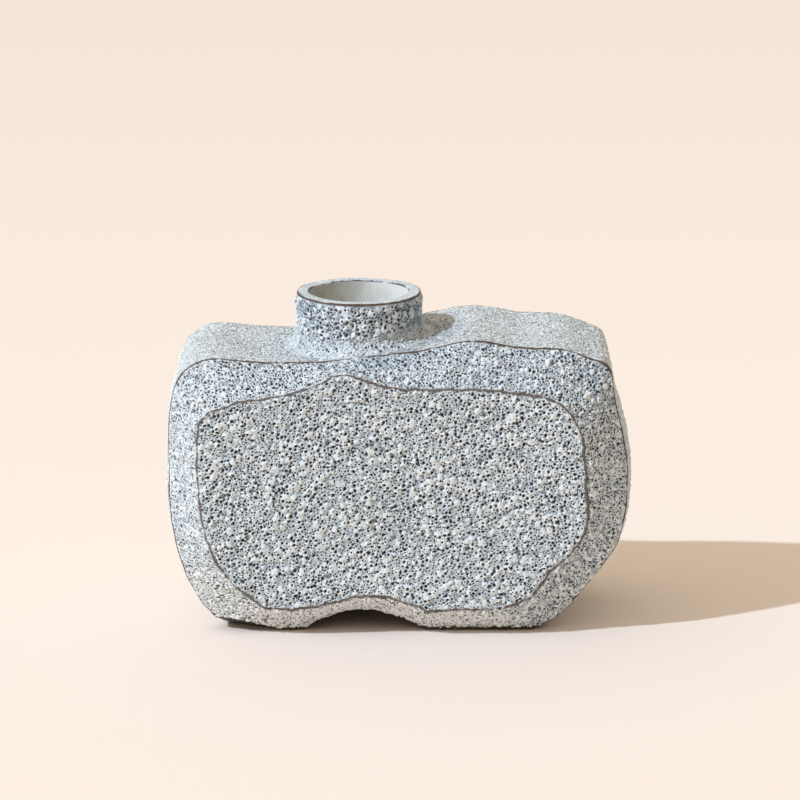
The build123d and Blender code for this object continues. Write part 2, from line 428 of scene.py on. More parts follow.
class Relief:
    """What the bubbling glaze does to a surface: lumps, hollows and dark pits, point by point."""

    def __init__(self, places):
        self.places = places
        self.held = {}
        self.lump = np.zeros(len(places))
        self.up = np.zeros(len(places))
        self.down = np.zeros(len(places))
        self.pit = np.zeros(len(places))
        self.pool = np.zeros(len(places))
        self.lip = np.zeros(len(places))

    def scatter(self, grid, density, draws):
        """Random cells of a grid, as many as a density asks for at each, once round where it closes."""
        at = self.places[grid]
        area = np.linalg.norm(np.cross(at[1:, 1:] - at[:-1, :-1], at[1:, :-1] - at[:-1, 1:]), axis=-1) / 2
        turns = np.flatnonzero(grid[0] == grid[0, 0])
        if len(turns) > 1:
            spare = (grid.shape[1] - turns[1]) // 2
            area[:, :spare] = 0
            area[:, turns[1] + spare:] = 0
        total = (area * density[grid[:-1, :-1]]).ravel().cumsum()
        picks = draws.uniform(0, total[-1], int(total[-1]))
        return np.unravel_index(np.searchsorted(total, picks), area.shape)

    def around(self, grid, row, column, reach):
        """The points of a grid within reach of one of its cells, and how far away they are."""
        height, width = grid.shape
        here = self.places[grid[row, column]]
        row_step = np.linalg.norm(self.places[grid[min(row + 1, height - 1), column]] - here) + nearness
        column_step = np.linalg.norm(self.places[grid[row, min(column + 1, width - 1)]] - here) + nearness
        tall = min(int(reach / row_step) + 2, most_cells)
        wide = min(int(reach / column_step) + 2, most_cells)
        near = grid[max(row - tall, 0):row + tall + 1, max(column - wide, 0):column + wide + 1]
        return near, self.places[near] - here

    def spread(self, grid, density, size, draws, apart, kind):
        """Random cells of a grid that keep apart from each other and from earlier forms of their kind."""
        held = self.held.setdefault(kind, {})
        for row, column in zip(*self.scatter(grid, density, draws)):
            number = grid[row, column]
            x, y, z = self.places[number].tolist()
            home = (int(x // held_cell), int(y // held_cell), int(z // held_cell))
            free = min(apart * size[number], held_cell) ** 2
            near = [
                place for step in STEPS_ROUND
                for place in held.get((home[0] + step[0], home[1] + step[1], home[2] + step[2]), ())
            ]
            if all((x - a) ** 2 + (y - b) ** 2 + (z - c) ** 2 > free for a, b, c in near):
                held.setdefault(home, []).append((x, y, z))
                yield row, column

    def bubble(self, grid, area, size, draws, kind, form):
        """Scatters round forms over a grid. Their radii follow the size of the glaze at each place."""
        density, middle, least, most, stretch, apart = form
        for row, column in self.spread(grid, area * density, size, draws, apart, kind):
            radius = np.clip(middle * np.exp(draws.normal(0, spread_share)), least, most)
            radius = radius * size[grid[row, column]]
            near, away = self.around(grid, row, column, radius * reach_share)
            lean = draws.normal(size=3)
            lean /= np.linalg.norm(lean)
            longer = 1 - 1 / draws.uniform(1, stretch) ** 2
            far = (away ** 2).sum(-1) - longer * (away @ lean) ** 2
            strength = draws.uniform(least_strength_share, 1)
            kind(self, near, np.sqrt(np.maximum(far, 0)) / radius, radius, strength)

    def crater(self, near, far, radius, strength):
        """A burst bubble: a dark steep pit inside a low lip."""
        bowl = np.clip(1 - far ** 2, 0, 1) ** bowl_power
        lip = np.exp(-((far - lip_share) / lip_width_share) ** 2)
        self.down[near] = np.maximum(self.down[near], bowl * radius)
        self.up[near] = np.maximum(self.up[near], lip * radius * lip_rise_share)
        self.lip[near] = np.maximum(self.lip[near], lip * strength)
        self.pit[near] = np.maximum(self.pit[near], (pit_share - far) * min(1, wide_pit / radius))

    def blister(self, near, far, radius, strength):
        """A bubble that didn't burst: a round lump."""
        dome = np.clip(1 - far ** 2, 0, 1) ** dome_power
        self.lump[near] = np.maximum(self.lump[near], dome * radius * strength * dome_share)

    def hollow(self, near, far, radius, strength):
        """A bubble that sank back: a shallow hollow with thin bluish glaze."""
        bowl = np.clip(1 - far ** 2, 0, 1)
        self.down[near] = np.maximum(self.down[near], bowl * radius * sink_share)
        self.pool[near] = np.maximum(self.pool[near], ramp(far, *pool_shares) * strength)

    def froth(self, grid, area, grain, pitting, draws):
        """Fills a grid with lumps, and the dips between them with hollows and pits."""
        area = area / grain ** crowding_power
        self.bubble(grid, area, grain, draws, Relief.blister, BLISTERS)
        low = area * pitting * (lump_pit_share + (1 - lump_pit_share) * self.dips())
        self.bubble(grid, area, grain, draws, Relief.hollow, HOLLOWS)
        for form in (WIDE_CRATERS, CRATERS, FINE_CRATERS):
            self.bubble(grid, low, grain, draws, Relief.crater, form)

    def dips(self):
        """Where the surface lies low between the lumps, from 0 on a lump to 1."""
        return 1 - np.clip(self.lump / lump_height, 0, 1)

    def height(self):
        return self.lump + self.up - self.down


# Share of a stretch over which a value changes at each mitre
mitre_share = 0.12


def by_stretch(values):
    """One value for each column, steady along a stretch and changing over at the mitres."""
    at, held = [], []
    for side, value in zip(STRETCHES, values):
        first, last = FIRST_COLUMN[side], LAST_COLUMN[side]
        change = (last - first) * mitre_share
        at += [first + change, last - change]
        held += [value, value]
    return np.interp(np.arange(columns), at, held, period=columns)


def over_skin(bevel, belt, panel):
    """A value for each point of the skin, given along the band, along the belt and on the panels."""
    ring_values = np.empty((rows, columns))
    ring_values[:] = by_stretch(belt)
    ring_values[:ridge_row] = by_stretch(bevel)
    ring_values[back_ridge_row + 1:] = by_stretch(bevel)
    return np.concatenate([ring_values.ravel(), np.full(len(points) - rows * columns, panel)])


# Neck
neck_low, neck_high = box("neck_collar")
neck_x = (neck_low[0] + neck_high[0]) / 2
neck_radius = (neck_high[0] - neck_low[0]) / 2
mouth = [mount for mount in frame["record"]["mounts"] if mount["name"] == "mouth"][0]
bore_radius = mouth["dims"]["r_mm"]
rim_z = neck_high[2]
rim_round = 0.8
coil_feather = 1.2
coil_spread = box("neck_joint_coil")[1][0] - neck_high[0] + coil_feather
coil_height = 7.5

# How coarse and how pale the glaze is on each face, with some painted light: left, top, right and base
grain = over_skin((0.80, 0.88, 0.95, 0.92), (0.75, 0.62, 0.85, 0.6), 1.0)
pitting = over_skin((1.1, 1.7, 1.5, 1.25), (0.7, 0.7, 0.8, 0.4), 1.15)
# Paleness and blueness also hold painted light: the band along the base is paler and warmer as painted floor
# bounce, the band along the top bluer as painted cool light from above, and the right wall of the belt paler
# and bluer as painted rim light.
paleness_with_painted_light = over_skin((1.08, 1.04, 1.02, 1.6), (0.94, 1.03, 0.98, 0.5), 1.03)
blueness_with_painted_light = over_skin((0.78, 1.15, 0.95, 0.0), (0.60, 0.60, 1.10, 0.1), 0.92)
relief_share = over_skin((0.8, 1.0, 1.05, 1.2), (0.7, 0.7, 0.8, 0.5), 1.05)
depth_share = over_skin((0.85, 0.96, 1.0, 1.0), (0.75, 0.8, 0.8, 0.5), 1.0)
specks = over_skin((1.25, 1.3, 1.5, 1.0), (1.2, 2.0, 1.2, 0.5), 1.15)

# Warmer low on the band: painted warm light bounced up from the floor
warm_top, warm_foot, bounce_warmth_share = 55.0, 10.0, 0.6
on_band = np.arange(len(points)) < rows * columns
blueness_with_painted_light -= np.where(on_band, ramp(points[:, 2], warm_top, warm_foot) * bounce_warmth_share, 0.0)

# Darker towards the right end of the upper band
dark_left, dark_right = -10.0, 80.0
dark_low, dark_high = 90.0, 110.0
dark_share = 0.12
on_bevel = on_band & (abs(points[:, 1]) > -ridge_y)
darker = ramp(points[:, 0], dark_left, dark_right) * ramp(points[:, 2], dark_low, dark_high)
paleness_with_painted_light -= np.where(on_bevel, darker * dark_share, 0.0)

# Coarser and darker glaze on the shoulder, close round the neck; to the right of the neck it is darker still,
# as a painted shadow of the neck
close_outer, close_inner = 24.0, 6.0
close_grain_share = 0.28
right_dark_and_shadow_share, left_dark_share = 0.38, 0.14
near_neck = np.hypot(points[:, 0] - neck_x, points[:, 1])
on_shoulder = points[:, 2] > heart[1]
close = np.where(on_shoulder, ramp(near_neck, neck_radius + close_outer, neck_radius + close_inner), 0.0)
grain += close * close_grain_share
pitting += close
paleness_with_painted_light -= close * np.where(points[:, 0] > neck_x, right_dark_and_shadow_share, left_dark_share)

# How far each point lies from the nearest edge line
row_place = np.zeros((rows, columns))
slant = np.hypot(np.linalg.norm(ridge - panel_line, axis=1), ridge_y - panel_y)
for row in range(rows):
    share = min(row, rows - 1 - row) / bevel_count
    if share <= 1:
        row_place[row] = min(share, 1 - share) * slant
    else:
        row_place[row] = -ridge_y - abs(ring_points[row, 0, 1])


def to_line(places, loop):
    """The distance of each place from the nearest point of a closed line."""
    tree = kdtree.KDTree(len(loop))
    for rank, place in enumerate(loop):
        tree.insert(place, rank)
    tree.balance()
    return np.array([tree.find(place)[2] for place in places])


front_away = to_line(front_places, ring_points[0])
back_away = to_line(back_places, ring_points[-1])
line_away = np.concatenate([row_place.ravel(), front_away, back_away])
on_seat = (np.arange(rows) <= seat_row) | (np.arange(rows) >= back_seat_row)
at_panel = np.append(np.repeat(on_seat, columns), np.ones(len(points) - rows * columns, dtype=bool))


def solid_relief(node, places):
    """How far a panel's solid stands out from its flat at each place, with its blisters and craters."""
    mesh = frame["nodes"][node].data
    corners = [vertex.co / MM for vertex in mesh.vertices]
    tree = BVHTree.FromPolygons(corners, [tuple(face.vertices) for face in mesh.polygons])
    outward = np.sign(places[0, 1])
    found = np.zeros(len(places))
    for rank, (x, y, z) in enumerate(places):
        hit = tree.ray_cast(Vector((x, y + outward * ray_reach, z)), Vector((0, -outward, 0)))[0]
        if hit is not None:
            found[rank] = (hit.y - y) * outward
    return found


# Craters of the solid panels: the depths over which they darken, and the share of bubbles inside them
pit_top, pit_foot, solid_pit_share = 0.3, 0.8, 0.66
shallow, crater_share = 0.05, 0.35
glaze_seed = 11
ring_overlap = 40

# Glaze on the body
glaze = Relief(points)
solid = np.concatenate([
    np.zeros(rows * columns),
    solid_relief("front_panel", front_places),
    solid_relief("back_panel", back_places),
])
glaze.lump = np.maximum(solid, 0)
glaze.down = np.maximum(-solid, 0)
glaze.pit = ramp(-solid, pit_top, pit_foot) * solid_pit_share
draws = np.random.default_rng(glaze_seed)
glazed = np.ones(len(points))
glazed[ring[ridge_row:back_ridge_row + 1, FIRST_COLUMN["base"]:]] = 0
glazed *= 1 - facet
free = glazed * np.where(solid > -shallow, 1.0, crater_share)
for grid in (front_grid, back_grid, wrapped(ring, ring_overlap)):
    glaze.froth(grid, free, grain, pitting, draws)

# Relief: it fades at the edge lines and goes under the coil
edge_clear, edge_full = 0.3, 1.5
coil_overlap, coil_seat = 0.8, 0.5
SWAY_LAYERS = [(28.0, 21, 0.25), (9.0, 22, 0.12)]
GRAIN_LAYERS = [(1.1, 23, 0.06)]
under_coil = on_shoulder & (near_neck < neck_radius + coil_spread - coil_overlap)
fade = np.where(under_coil, 0.0, ramp(line_away, edge_clear, edge_full) * glazed)
height = fade * (relief_share * glaze.height() + layered(points, SWAY_LAYERS) + layered(points, GRAIN_LAYERS))
height -= np.where(under_coil, coil_seat, 0.0)
skin_points = points + normals * height[:, None]
skin_points[:, 2] = np.maximum(skin_points[:, 2], 0)
skin_normals = normals_of(skin_points, skin_faces)

# Brown edge lines: widths, how far they are worn away, and where the panel's line runs thin
panel_line_width, ridge_line_width, thin_width = 1.05, 0.95, 0.25
line_core_share, panel_brown_share = 0.4, 0.92
panel_worn, panel_whole, thin_worn = -1.3, -0.6, 0.4
ridge_worn, ridge_whole = -1.6, -0.8
thin_right, thin_left = 20.0, -60.0
thin_low, thin_high = 50.0, 80.0
EDGE_LAYERS = [(1.0, 34, 0.45), (2.6, 38, 0.3), (7.0, 35, 0.2)]
WEAR_LAYERS = [(9.0, 36, 0.7), (2.5, 37, 0.5)]
edge_noise = layered(points, EDGE_LAYERS)
edge_wear = layered(points, WEAR_LAYERS)
thin = ramp(points[:, 0], thin_right, thin_left) * ramp(points[:, 2], thin_low, thin_high)
edge_width = np.where(at_panel, panel_line_width - thin_width * thin, ridge_line_width)
edge_hold = np.where(
    at_panel,
    ramp(edge_wear, panel_worn + thin * thin_worn, panel_whole) * panel_brown_share,
    ramp(edge_wear, ridge_worn, ridge_whole),
)

# Bare clay at the foot: heights over which the glaze ends, and how raggedly
clay_top, clay_foot, ragged_share = 2.3, 1.7, 1.6

# How the tone, the blue and the pinholes follow the patches, the drift and the relief of the glaze. The paler
# lips are partly a painted highlight on the crater rims; the darker, bluer dips are partly glaze lying low
# and partly painted shade between the lumps.
patch_tone_share, drift_tone_share = 0.16, 0.07
lip_tone_share, pool_tone_share, dip_tone_share = 0.2, 0.25, 0.22
patch_blue_share, drift_blue_share, dip_blue_share = 0.3, 0.2, 0.3
half_share = 0.5
lump_speck_share = 0.35
PATCH_LAYERS = [(16.0, 31, 0.25), (5.0, 32, 0.3), (1.6, 33, 0.45)]
DRIFT_LAYERS = [(40.0, 39, 1.0)]
patchy = layered(points, PATCH_LAYERS)
drift = layered(points, DRIFT_LAYERS)
dips = glaze.dips()
skin_marks = {
    "pit": glaze.pit * fade,
    "deep": depth_share,
    "tone": paleness_with_painted_light + patchy * patch_tone_share + drift * drift_tone_share
    + glaze.lip * lip_tone_share - glaze.pool * pool_tone_share - dips * dip_tone_share,
    "blue": blueness_with_painted_light + patchy * patch_blue_share + drift * drift_blue_share
    + (dips - half_share) * dip_blue_share,
    "speck": specks * (lump_speck_share + (1 - lump_speck_share) * dips),
    "edge": ramp(line_away + edge_noise, edge_width, edge_width * line_core_share) * edge_hold,
    "clay": np.maximum(1 - glazed, ramp(points[:, 2] + edge_noise * ragged_share, clay_top, clay_foot)),
}


def surface_of(places, marks, shading):
    return {"places": places, "marks": marks, "normals": shading}


def zip_loops(outer_at, inner_at):
    """The triangles between two closed loops, as number pairs, by how far along each point lies."""
    outer_next, inner_next = np.append(outer_at[1:], 1), np.append(inner_at[1:], 1)
    outer_mid, inner_mid = (outer_at + outer_next) / 2, (inner_at + inner_next) / 2
    meets = np.searchsorted(inner_mid, outer_mid)
    outer_count, inner_count = len(outer_at), len(inner_at)
    rank = np.arange(outer_count)
    outer_faces = np.stack([(rank + 1) % outer_count, rank, outer_count + meets % inner_count], axis=1)
    turn = np.searchsorted(meets, np.arange(1, inner_count + 1))
    rank = np.arange(inner_count)
    inner_faces = np.stack(
        [outer_count + rank, outer_count + (rank + 1) % inner_count, turn % outer_count], axis=1
    )
    return np.concatenate([outer_faces, inner_faces])


def quarters(sizes):
    """How far along each point of a four-sided loop lies, a quarter for each side."""
    return np.concatenate([(rank + np.arange(size) / size) / 4 for rank, size in enumerate(sizes)])


def border(grid):
    """The point numbers round a grid, and how far along each lies."""
    sides = [grid[0, :-1], grid[:-1, -1], grid[-1, :0:-1], grid[:0:-1, 0]]
    return np.concatenate(sides), quarters([len(side) for side in sides])


def placed(name, data):
    """A new object in the scene."""
    thing = bpy.data.objects.new(name, data)
    bpy.context.scene.collection.objects.link(thing)
    return thing


def make_piece(name, node, surface, faces, hidden=None, hidden_faces=(), loops=()):
    """A closed piece: part of a fine outer surface, and plain hidden faces zipped to it."""
    used = np.unique(faces)
    renumber = np.full(len(surface["places"]), -1)
    renumber[used] = np.arange(len(used))
    hidden = np.zeros((0, 3)) if hidden is None else hidden
    hidden_faces = np.zeros((0, 4), dtype=int) if len(hidden_faces) == 0 else hidden_faces + len(used)
    triangles = [np.zeros((0, 3), dtype=int)]
    for outer_loop, outer_at, inner_loop, inner_at in loops:
        numbers = np.concatenate([renumber[outer_loop], inner_loop + len(used)])
        triangles.append(numbers[zip_loops(outer_at, inner_at)])
    triangles = np.concatenate(triangles)
    quads = np.concatenate([renumber[faces], hidden_faces])
    places = np.concatenate([surface["places"][used], hidden])
    mesh = bpy.data.meshes.new(name)
    mesh.vertices.add(len(places))
    mesh.vertices.foreach_set("co", (places * MM).astype(np.float32).ravel())
    corners = np.concatenate([quads.ravel(), triangles.ravel()]).astype(np.int32)
    mesh.loops.add(len(corners))
    mesh.loops.foreach_set("vertex_index", corners)
    starts = np.concatenate([np.arange(len(quads)) * 4, len(quads) * 4 + np.arange(len(triangles)) * 3])
    mesh.polygons.add(len(starts))
    mesh.polygons.foreach_set("loop_start", starts.astype(np.int32))
    inside = np.zeros(len(starts), dtype=np.int32)
    inside[len(faces):] = 1
    mesh.materials.append(outside_glaze)
    mesh.materials.append(inside_glaze)
    mesh.update(calc_edges=True)
    mesh.polygons.foreach_set("material_index", inside)
    for mark, values in surface["marks"].items():
        layer = mesh.attributes.new(mark, "FLOAT", "POINT")
        marked = np.concatenate([values[used], np.zeros(len(hidden))])
        layer.data.foreach_set("value", marked.astype(np.float32))
    mesh.shade_smooth()
    shading = np.concatenate([surface["normals"][used], np.zeros((len(hidden), 3))])
    mesh.normals_split_custom_set_from_vertices(shading.tolist())
    piece = placed(name, mesh)
    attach(piece, "root")
    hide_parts(node)
    return piece


def node_tree(name):
    material = bpy.data.materials.new(name)
    material.use_nodes = True
    nodes = material.node_tree.nodes
    return material, nodes, material.node_tree.links, nodes["Principled BSDF"]


def mark_node(nodes, name):
    node = nodes.new("ShaderNodeAttribute")
    node.attribute_name = name
    return node.outputs["Fac"]


def noise_node(nodes, links, scale, detail=3.0, rough=0.6):
    """Solid noise in the object's own metres."""
    place = nodes.new("ShaderNodeTexCoord")
    node = nodes.new("ShaderNodeTexNoise")
    node.inputs["Scale"].default_value = scale
    node.inputs["Detail"].default_value = detail
    node.inputs["Roughness"].default_value = rough
    links.new(place.outputs["Object"], node.inputs["Vector"])
    return node.outputs["Fac"]


def pore_node(nodes, links, scale):
    """The distance from the nearest of many random points, for pinholes."""
    place = nodes.new("ShaderNodeTexCoord")
    node = nodes.new("ShaderNodeTexVoronoi")
    node.inputs["Scale"].default_value = scale
    links.new(place.outputs["Object"], node.inputs["Vector"])
    return node.outputs["Distance"]


def maths(nodes, links, operation, first, second):
    node = nodes.new("ShaderNodeMath")
    node.operation = operation
    for socket, value in zip(node.inputs, (first, second)):
        if isinstance(value, (int, float)):
            socket.default_value = value
        else:
            links.new(value, socket)
    return node.outputs["Value"]


def ramp_node(nodes, links, value, stops):
    node = nodes.new("ShaderNodeValToRGB")
    links.new(value, node.inputs["Fac"])
    stop_list = node.color_ramp.elements
    while len(stop_list) < len(stops):
        stop_list.new(1.0)
    for stop, (at, colour) in zip(stop_list, stops):
        stop.position = at
        stop.color = (*colour, 1.0)
    return node.outputs["Color"]


def grey_ramp(nodes, links, value, stops):
    return ramp_node(nodes, links, value, [(at, (level, level, level)) for at, level in stops])


def mixed(nodes, links, share, first, second):
    """One colour laid over another by a share. The colours are sockets."""
    node = nodes.new("ShaderNodeMix")
    node.data_type = "RGBA"
    colour_inputs = [socket for socket in node.inputs if socket.type == "RGBA"]
    links.new(share, node.inputs[0])
    links.new(first, colour_inputs[0])
    links.new(second, colour_inputs[1])
    return [socket for socket in node.outputs if socket.type == "RGBA"][0]


def crater_glaze():
    """Blue-grey and white glaze with dark pits, brown where it runs thin on edges, bare clay at the feet."""
    material, nodes, links, shader = node_tree("crater_glaze_surface")
    speck = noise_node(nodes, links, 1100.0, 3.0, 0.65)
    cloud = noise_node(nodes, links, 300.0, 3.0)
    pore = pore_node(nodes, links, 770.0)
    fine_pore = pore_node(nodes, links, 1400.0)
    loose = maths(nodes, links, "SUBTRACT", speck, 0.5)
    stir = maths(nodes, links, "MULTIPLY", loose, 0.35)
    stirred = maths(nodes, links, "ADD", mark_node(nodes, "tone"), stir)
    tone = maths(nodes, links, "MULTIPLY", stirred, 0.8)
    neutral = ramp_node(nodes, links, tone, [
        (0.0, (0.16, 0.17, 0.17)),
        (0.28, (0.405, 0.42, 0.41)),
        (0.52, (0.615, 0.635, 0.615)),
        (0.8, (0.84, 0.86, 0.825)),
        (1.0, (0.95, 0.95, 0.92)),
    ])
    bluish = ramp_node(nodes, links, tone, [
        (0.0, (0.09, 0.14, 0.20)),
        (0.28, (0.29, 0.375, 0.45)),
        (0.52, (0.53, 0.615, 0.68)),
        (0.8, (0.80, 0.865, 0.90)),
        (1.0, (0.91, 0.95, 0.97)),
    ])
    dark = ramp_node(nodes, links, cloud, [(0.35, (0.012, 0.016, 0.025)), (0.7, (0.07, 0.083, 0.11))])
    brown = ramp_node(nodes, links, speck, [(0.3, (0.055, 0.038, 0.027)), (0.7, (0.15, 0.105, 0.08))])
    clay = ramp_node(nodes, links, cloud, [(0.3, (0.055, 0.042, 0.033)), (0.7, (0.13, 0.105, 0.085))])
    pin = grey_ramp(nodes, links, pore, [(0.18, 0.75), (0.33, 0.0)])
    prick = grey_ramp(nodes, links, fine_pore, [(0.20, 0.35), (0.42, 0.0)])
    hole = maths(nodes, links, "MAXIMUM", pin, prick)
    pinhole = maths(nodes, links, "MULTIPLY", hole, mark_node(nodes, "speck"))
    shade = ramp_node(nodes, links, cloud, [(0.3, (0.065, 0.082, 0.11)), (0.7, (0.14, 0.165, 0.205))])
    colour = mixed(nodes, links, mark_node(nodes, "blue"), neutral, bluish)
    colour = mixed(nodes, links, pinhole, colour, shade)
    pit = grey_ramp(nodes, links, mark_node(nodes, "pit"), [(0.42, 0.0), (0.85, 1.0)])
    pit = maths(nodes, links, "MULTIPLY", pit, mark_node(nodes, "deep"))
    colour = mixed(nodes, links, pit, colour, dark)
    colour = mixed(nodes, links, mark_node(nodes, "edge"), colour, brown)
    colour = mixed(nodes, links, mark_node(nodes, "clay"), colour, clay)
    links.new(colour, shader.inputs["Base Color"])
    rough = grey_ramp(nodes, links, cloud, [(0.3, 0.55), (0.7, 0.75)])
    links.new(rough, shader.inputs["Roughness"])
    shader.inputs["Specular IOR Level"].default_value = 0.35
    bump = nodes.new("ShaderNodeBump")
    bump.inputs["Strength"].default_value = 0.6
    bump.inputs["Distance"].default_value = 0.0003
    sunk = maths(nodes, links, "SUBTRACT", speck, pinhole)
    links.new(sunk, bump.inputs["Height"])
    links.new(bump.outputs["Normal"], shader.inputs["Normal"])
    return material


def liner_glaze():
    """Smooth pale grey-green glaze inside, with streaks that ran down, paler to the right as painted light on
    the lit inner wall and darker to the left as painted shade.
    """
    material, nodes, links, shader = node_tree("liner_glaze_surface")
    place = nodes.new("ShaderNodeTexCoord")
    stretch = nodes.new("ShaderNodeMapping")
    stretch.inputs["Scale"].default_value = (1.0, 1.0, 0.5)
    links.new(place.outputs["Object"], stretch.inputs["Vector"])
    streak = nodes.new("ShaderNodeTexNoise")
    streak.inputs["Scale"].default_value = 110.0
    streak.inputs["Detail"].default_value = 3.0
    links.new(stretch.outputs["Vector"], streak.inputs["Vector"])
    apart = nodes.new("ShaderNodeSeparateXYZ")
    links.new(place.outputs["Object"], apart.inputs["Vector"])
    # Painted light: paler towards the right, where light falls on the inner wall, and darker to the left in
    # shade
    across = nodes.new("ShaderNodeMapRange")
    across.inputs["From Min"].default_value = (neck_x - bore_radius) * MM
    across.inputs["From Max"].default_value = (neck_x + bore_radius) * MM
    links.new(apart.outputs["X"], across.inputs["Value"])
    streaky = maths(nodes, links, "MULTIPLY", streak.outputs["Fac"], 0.9)
    painted_light_across = maths(nodes, links, "MULTIPLY", across.outputs["Result"], 0.75)
    streaks_and_painted_light = maths(nodes, links, "ADD", painted_light_across, streaky)
    colour = ramp_node(nodes, links, streaks_and_painted_light, [
        (0.3, (0.40, 0.41, 0.35)), (0.7, (0.70, 0.71, 0.65)), (1.0, (0.92, 0.92, 0.88)),
    ])
    links.new(colour, shader.inputs["Base Color"])
    rough = grey_ramp(nodes, links, streak.outputs["Fac"], [(0.3, 0.35), (0.7, 0.5)])
    links.new(rough, shader.inputs["Roughness"])
    return material


outside_glaze = crater_glaze()
inside_glaze = liner_glaze()

body = surface_of(skin_points, skin_marks, skin_normals)


def drawn_in(line, distance):
    """A closed line drawn in by a distance on each side of its box."""
    low, high = line.min(axis=0), line.max(axis=0)
    middle, half = (low + high) / 2, (high - low) / 2
    return middle + (line - middle) * (1 - distance / half)


def at_depth(line, depth):
    return np.stack([line[:, 0], np.full(len(line), depth), line[:, 1]], axis=1)


seat = panel_line + (ridge - panel_line) * seat_share
ridge_inside = drawn_in(ridge, wall)
seat_inside = drawn_in(seat, panel_seat)

# Steps of the plain hidden faces
panel_steps = 12
belt_steps = 25


def sparse(first, last):
    """A few of the columns from the first to the last."""
    count = max(2, round((last - first) * spacing / hidden_step))
    return np.round(np.linspace(first, last, count + 1)).astype(int) % columns


def slab_piece(node, rows_used, side, inner_lines, bore=None):
    """A piece of the ring: rows of the outer surface along one stretch, closed by a plain inner surface."""
    cols = np.arange(FIRST_COLUMN[side], LAST_COLUMN[side] + 1) % columns
    grid = ring[rows_used][:, cols]
    few = sparse(FIRST_COLUMN[side], LAST_COLUMN[side])
    inner = np.stack([at_depth(line[few], depth) for line, depth in inner_lines])
    inner_grid = np.arange(inner.shape[0] * inner.shape[1]).reshape(inner.shape[:2])
    faces, inner_faces, places = quads_of(grid), quads_of(inner_grid)[:, ::-1], inner.reshape(-1, 3)
    loops = [border(grid) + border(inner_grid)]
    if bore is not None:
        faces, rim, rim_at = cut_bore(body["places"], faces, bore)
        inner_faces, inner_rim, inner_at = cut_bore(places, inner_faces, bore)
        loops.append((rim[::-1], (1 - rim_at[::-1]), inner_rim[::-1], 1 - inner_at[::-1]))
    return make_piece("vase_" + node, node, body, faces, places, inner_faces, loops)


def cut_bore(places, faces, radius):
    """Takes the faces within the neck's bore out and sets the points round it on a circle."""
    inside = np.hypot(places[:, 0] - neck_x, places[:, 1]) < radius
    gone = inside[faces].all(axis=1)
    kept = faces[~gone]
    rim = np.intersect1d(faces[gone], kept)
    angle = np.arctan2(places[rim, 1], places[rim, 0] - neck_x) % (2 * pi)
    order = np.argsort(angle)
    rim, angle = rim[order], angle[order]
    places[rim, 0] = neck_x + radius * np.cos(angle)
    places[rim, 1] = radius * np.sin(angle)
    return kept, rim, angle / (2 * pi)


def panel_piece(node, grid, rows_used, row, depth):
    """A panel: its face, its sloping edge and a plain back on its seat."""
    faces = quads_of(wrapped(ring[rows_used]))
    tall, wide = 3 * panel_steps, 4 * panel_steps
    base, right, top, left = four_sides(seat)
    flat = coons(even(base, wide), even(right, tall), even(top, wide), even(left, tall))
    inner = at_depth(flat.reshape(-1, 2), depth)
    inner_grid = np.arange(len(inner)).reshape(flat.shape[:2])
    loop = ring[row]
    at = quarters([side_count, wide_count, side_count, wide_count])
    inner_loop = np.concatenate([
        inner_grid[:-1, 0], inner_grid[-1, :-1], inner_grid[:0:-1, -1], inner_grid[0, :0:-1],
    ])
    inner_at = quarters([tall, wide, tall, wide])
    if depth < 0:
        faces = np.concatenate([faces, quads_of(grid)])
        inner_faces = quads_of(inner_grid)[:, ::-1]
        loop = np.roll(loop[::-1], 1)
        at = np.append(0, (1 - at[:0:-1]))
        inner_loop = np.roll(inner_loop[::-1], 1)
        inner_at = np.append(0, (1 - inner_at[:0:-1]))
    else:
        faces = np.concatenate([faces, quads_of(grid)[:, ::-1]])
        inner_faces = quads_of(inner_grid)
    return make_piece("vase_" + node, node, body, faces, inner, inner_faces,
                      [(loop, at, inner_loop, inner_at)])


panel_piece("front_panel", front_grid, slice(0, seat_row + 1), seat_row, seat_y)
panel_piece("back_panel", back_grid, slice(back_seat_row, rows), back_seat_row, -seat_y)
for side in STRETCHES:
    slab_piece("front_bevel_" + side, slice(seat_row, ridge_row + 1), side,
               [(seat_inside, seat_y), (ridge_inside, ridge_y)])
    slab_piece("back_bevel_" + side, slice(back_ridge_row, back_seat_row + 1), side,
               [(ridge_inside, -ridge_y), (seat_inside, -seat_y)])
belt_inside = [(ridge_inside, depth) for depth in np.linspace(ridge_y, -ridge_y, belt_steps)]
belt_rows = slice(ridge_row, back_ridge_row + 1)
slab_piece("left_wall", belt_rows, "left", belt_inside)
slab_piece("right_wall", belt_rows, "right", belt_inside)
slab_piece("base_slab", belt_rows, "base", belt_inside)
slab_piece("shoulder_slab", belt_rows, "top", belt_inside, bore_radius)

# Neck and coil: rings whose rows follow a profile and whose columns go round the neck
shoulder_x, shoulder_z = top_line[:, 0], top_line[:, 1]
neck_columns = round(2 * pi * neck_radius / spacing)
neck_turn = np.linspace(0, 2 * pi, neck_columns, endpoint=False)
neck_overlap = 30

# Unevenness of the hand-made neck: size, waves round it and phase
LOBES = [(0.12, 3, 0.7), (0.1, 5, 2.0)]
RIM_DIPS = [(0.18, 2, 1.0), (0.12, 4, 0.4)]
rim_sink = 0.3
round_steps = 4
row_stretch = 1.2


def ring_at(radius, height):
    return np.stack([neck_x + radius * np.cos(neck_turn), radius * np.sin(neck_turn), height], axis=1)


def shoulder_under(radius):
    return np.interp(neck_x + radius * np.cos(neck_turn), shoulder_x, shoulder_z)


def round_sway(waves):
    """A sway round the neck."""
    return sum(size * np.sin(count * neck_turn + phase) for size, count, phase in waves)


def ring_surface(places):
    """The point numbers of a ring, its points in one list, and its faces, closed underneath."""
    grid = np.arange(places.shape[0] * places.shape[1]).reshape(places.shape[:2])[:, ::-1]
    return grid, places.reshape(-1, 3), quads_of(wrapped(np.concatenate([grid, grid[:1]])))


lobes = round_sway(LOBES)
rim_line = rim_z + round_sway(RIM_DIPS) - rim_sink


